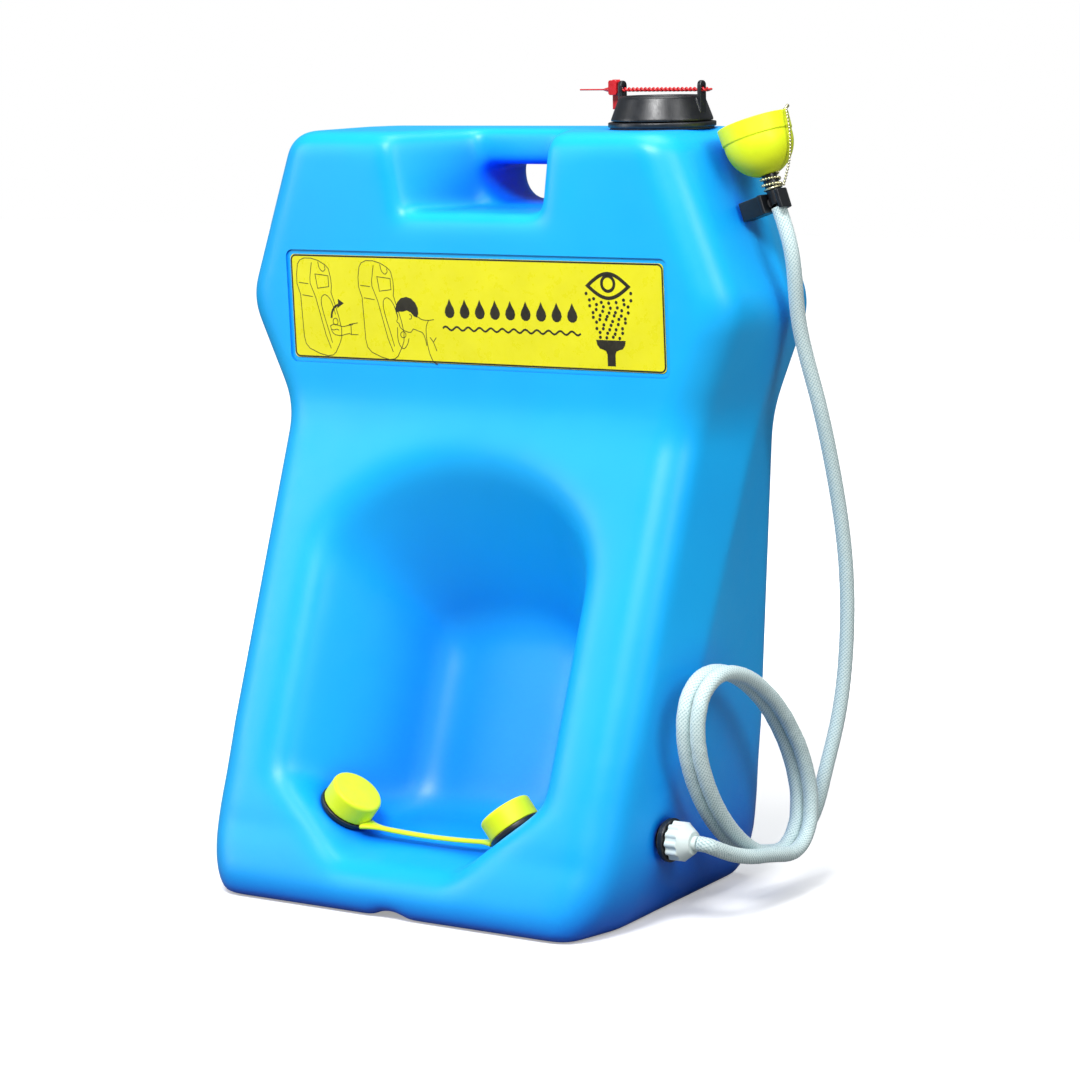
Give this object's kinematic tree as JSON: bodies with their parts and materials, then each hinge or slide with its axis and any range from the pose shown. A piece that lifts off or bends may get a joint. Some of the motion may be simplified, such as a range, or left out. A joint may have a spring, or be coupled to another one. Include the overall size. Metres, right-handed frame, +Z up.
{
  "type": "eyewash station",
  "caption": "Portable gravity-fed eyewash station: moulded water tank with a recessed wash bowl, capped nozzles on a pull strap, filler cap and a hand-held drench hose in a side clip.",
  "frame": {"origin": "centre of the tank's flat base, under the plane of the label face", "axes": "+X towards the drench hose side, +Y to the back, +Z up"},
  "size_m": [0.6452, 0.3888, 0.829],
  "materials": {
    "tank_plastic": "satin",
    "label_film": "satin",
    "seal_rubber": "matte",
    "black_plastic": "satin",
    "red_plastic": "gloss",
    "yellow_rubber": "satin",
    "white_plastic": "satin",
    "hose_braid": "satin",
    "bead_metal": "polished",
    "screw_steel": "brushed"
  },
  "bodies": {
    "tank": {"tank_shell": "tank_plastic", "label_plate": "label_film", "neck_gasket": "seal_rubber", "neck_ring": "black_plastic", "outlet_gasket": "seal_rubber", "outlet_fitting": "black_plastic", "outlet_nut": "black_plastic", "hose_washer": "seal_rubber", "hose_tail": "white_plastic", "drench_hose": "hose_braid", "hose_clip": "black_plastic", "clip_screw": "screw_steel", "nozzle_gasket_left": "seal_rubber", "nozzle_body_left": "black_plastic", "nozzle_nut_left": "black_plastic", "spray_head_left": "white_plastic", "nozzle_gasket_right": "seal_rubber", "nozzle_body_right": "black_plastic", "nozzle_nut_right": "black_plastic", "spray_head_right": "white_plastic"},
    "cap_carrier": {"cap_gasket": "seal_rubber"},
    "cap": {"fill_cap": "black_plastic", "seal_lock": "red_plastic", "seal_strap": "red_plastic"},
    "strap": {"pull_strap": "yellow_rubber"},
    "left_plug": {"nozzle_cap_left": "yellow_rubber"},
    "right_plug": {"nozzle_cap_right": "yellow_rubber"},
    "swivel": {"swivel_nut": "white_plastic"},
    "head": {"head_stem": "black_plastic", "eye_cup": "yellow_rubber", "spray_face": "white_plastic", "chain_ring": "bead_metal", "bead_chain": "bead_metal"},
    "dust_cover": {"dust_plug": "yellow_rubber"}
  },
  "joints": [
    {"name": "cap_rise", "type": "slide", "parent": "tank", "child": "cap_carrier", "axis": [0, 0, 1], "range_m": [0, 0.0201]},
    {"name": "cap_turn", "type": "hinge", "parent": "cap_carrier", "child": "cap", "pos_m": [0.174, 0.095, 0.79], "axis": [0, 0, 1], "range_deg": [0, 900]},
    {"name": "strap_lift", "type": "slide", "parent": "tank", "child": "strap", "axis": [0, 0, 1], "range_m": [0, 0.06], "deforming": ["pull_strap"]},
    {"name": "left_plug_draw", "type": "slide", "parent": "strap", "child": "left_plug", "axis": [1, 0, 0], "range_m": [0, 0.0487]},
    {"name": "right_plug_draw", "type": "slide", "parent": "strap", "child": "right_plug", "axis": [-1, 0, 0], "range_m": [0, 0.0487]},
    {"name": "swivel_turn", "type": "hinge", "parent": "tank", "child": "swivel", "pos_m": [0.27, -0.053, 0.088], "axis": [1, 0, 0], "continuous": true},
    {"name": "head_slide", "type": "slide", "parent": "tank", "child": "head", "axis": [0, -1, 0], "range_m": [0, 0.12], "deforming": ["drench_hose"]},
    {"name": "dust_cover_lift", "type": "slide", "parent": "head", "child": "dust_cover", "axis": [-0.3256, 0, 0.9455], "range_m": [0, 0.06], "deforming": ["bead_chain"]}
  ],
  "couplings": [
    {"joint": "cap_rise", "follows": "cap_turn", "m_per_rad": 0.0012732},
    {"joint": "left_plug_draw", "follows": "strap_lift", "ratio": 0.80978},
    {"joint": "right_plug_draw", "follows": "strap_lift", "ratio": 0.80978}
  ]
}
